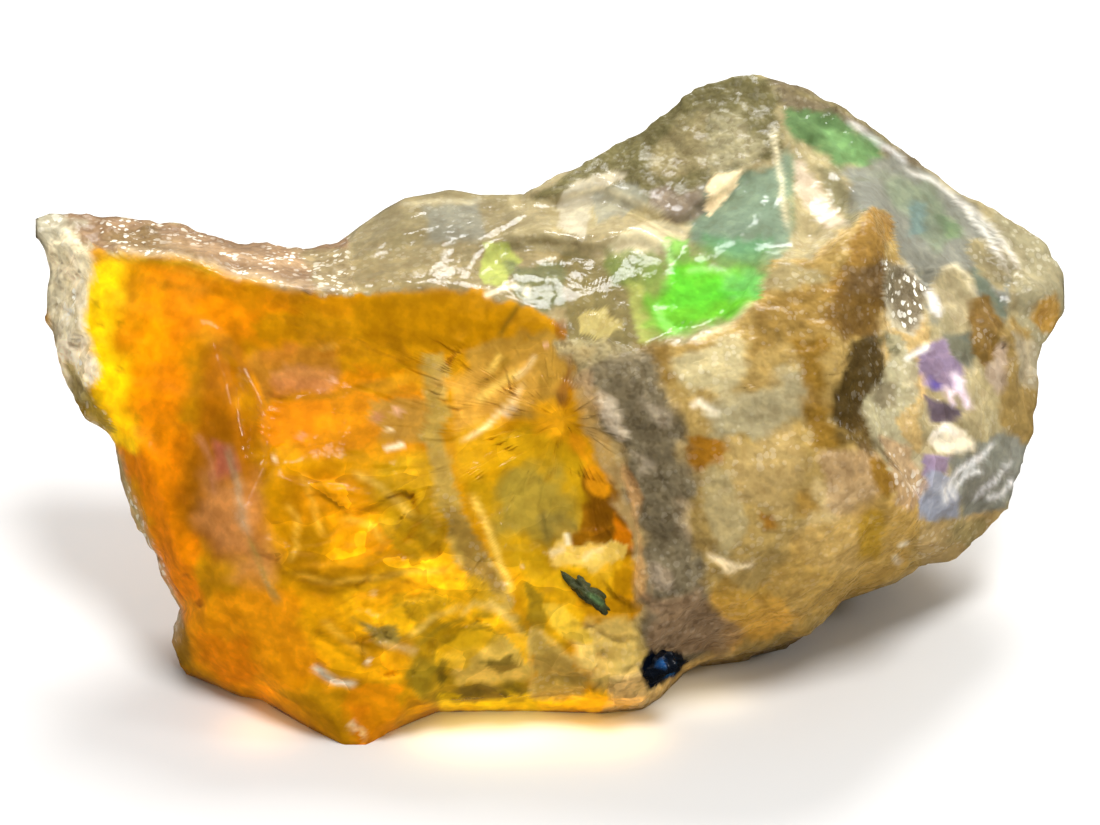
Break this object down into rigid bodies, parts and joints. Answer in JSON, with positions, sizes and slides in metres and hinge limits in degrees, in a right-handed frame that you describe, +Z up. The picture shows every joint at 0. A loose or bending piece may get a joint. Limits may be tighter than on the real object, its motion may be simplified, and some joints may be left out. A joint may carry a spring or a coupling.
{
  "type": "ethiopian opal",
  "caption": "Rough precious opal, amber at one end and clear with play-of-colour at the other, in its tan host rock, resting on a flat base.",
  "frame": {"origin": "middle of the stone's box, on its flat base", "axes": "+X along the stone, from its amber end to its host-rock end; -Y out of the broken face; +Z up"},
  "size_m": [0.0354, 0.018, 0.0172],
  "materials": {
    "opal": "glossy"
  },
  "bodies": {
    "root": {"opal_stone": "opal"}
  },
  "joints": []
}
